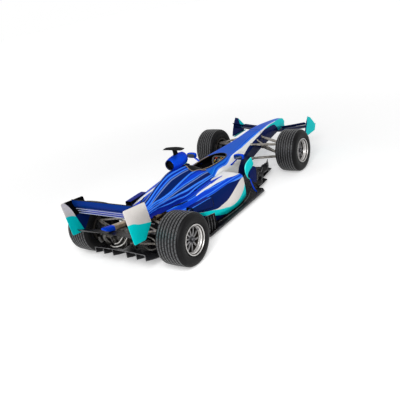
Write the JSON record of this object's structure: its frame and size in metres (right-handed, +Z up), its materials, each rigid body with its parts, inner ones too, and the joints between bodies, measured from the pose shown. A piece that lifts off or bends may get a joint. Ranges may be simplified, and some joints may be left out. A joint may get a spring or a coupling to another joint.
{
  "type": "open wheel racing car",
  "caption": "Full-size open wheel racing car with wings, sidepods, floor and diffuser, free-rolling wheels and coupled front steering.",
  "frame": {"origin": "middle of the car's length and width, on the ground", "axes": "+X forward, +Y to the driver's left, +Z up"},
  "size_m": [4.752, 1.82, 1.042],
  "materials": {
    "blue_paint": "gloss metallic royal blue",
    "navy_paint": "gloss dark blue",
    "turquoise_paint": "gloss turquoise",
    "carbon": "satin carbon fibre",
    "headrest_pad": "padded dark covering with a tan edge",
    "cast_alloy": "cast light alloy",
    "heat_tinted_metal": "tan heat tinted metal",
    "brushed_steel": "brushed steel",
    "tyre_rubber": "grooved dry weather tyre rubber",
    "wheel_silver": "bright machined alloy"
  },
  "bodies": {
    "chassis": {"monocoque": "blue_paint", "nose_cone": "blue_paint", "dash": "carbon", "seat": "carbon", "headrest": "headrest_pad", "floor": "carbon", "diffuser": "carbon", "engine": "cast_alloy", "gearbox": "carbon", "crash_structure": "blue_paint", "exhausts": "heat_tinted_metal", "radiators": "cast_alloy", "airbox": "blue_paint", "camera_winglet": "carbon", "engine_cover": "blue_paint", "sidepod_left": "blue_paint", "sidepod_right": "blue_paint", "winglets": "navy_paint", "mirrors": "blue_paint", "turning_vanes": "turquoise_paint", "barge_vanes": "carbon", "rear_endplates": "turquoise_paint", "rear_wing": "blue_paint", "beam_wing": "carbon", "front_endplates": "turquoise_paint", "front_wing": "navy_paint", "front_upper_wishbones": "heat_tinted_metal", "front_lower_wishbones": "heat_tinted_metal", "rear_upper_wishbones": "heat_tinted_metal", "rear_lower_wishbones": "heat_tinted_metal", "rear_uprights": "cast_alloy"},
    "steering_wheel_body": {"steering_wheel": "carbon"},
    "rack": {"steering_rack": "brushed_steel"},
    "upright_left": {"front_upright_left": "cast_alloy"},
    "upright_right": {"front_upright_right": "cast_alloy"},
    "wheel_fl": {"wheel_front_left": "wheel_silver", "tyre_front_left": "tyre_rubber"},
    "wheel_fr": {"wheel_front_right": "wheel_silver", "tyre_front_right": "tyre_rubber"},
    "wheel_rl": {"wheel_rear_left": "wheel_silver", "tyre_rear_left": "tyre_rubber", "driveshaft_left": "brushed_steel"},
    "wheel_rr": {"wheel_rear_right": "wheel_silver", "tyre_rear_right": "tyre_rubber", "driveshaft_right": "brushed_steel"}
  },
  "joints": [
    {"name": "steer_left", "type": "hinge", "parent": "chassis", "child": "upright_left", "pos_m": [1.211, 0.62, 0.325], "axis": [0, 0, 1], "range_deg": [-17, 17]},
    {"name": "steer_right", "type": "hinge", "parent": "chassis", "child": "upright_right", "pos_m": [1.211, -0.62, 0.325], "axis": [0, 0, 1], "range_deg": [-17, 17]},
    {"name": "rack_slide", "type": "slide", "parent": "chassis", "child": "rack", "axis": [0, 1, 0], "range_m": [-0.026, 0.026]},
    {"name": "steering_wheel_turn", "type": "hinge", "parent": "chassis", "child": "steering_wheel_body", "pos_m": [0.271, 0, 0.48], "axis": [-0.9417, 0, 0.3363], "range_deg": [-153, 153]},
    {"name": "spin_front_left", "type": "hinge", "parent": "upright_left", "child": "wheel_fl", "pos_m": [1.211, 0.738, 0.325], "axis": [0, 1, 0], "continuous": true},
    {"name": "spin_front_right", "type": "hinge", "parent": "upright_right", "child": "wheel_fr", "pos_m": [1.211, -0.738, 0.325], "axis": [0, 1, 0], "continuous": true},
    {"name": "spin_rear_left", "type": "hinge", "parent": "chassis", "child": "wheel_rl", "pos_m": [-1.779, 0.726, 0.325], "axis": [0, 1, 0], "continuous": true},
    {"name": "spin_rear_right", "type": "hinge", "parent": "chassis", "child": "wheel_rr", "pos_m": [-1.779, -0.726, 0.325], "axis": [0, 1, 0], "continuous": true}
  ],
  "couplings": [
    {"joint": "steer_right", "follows": "steer_left", "ratio": 1},
    {"joint": "rack_slide", "follows": "steer_left", "m_per_rad": 0.085},
    {"joint": "steering_wheel_turn", "follows": "steer_left", "ratio": 9}
  ]
}
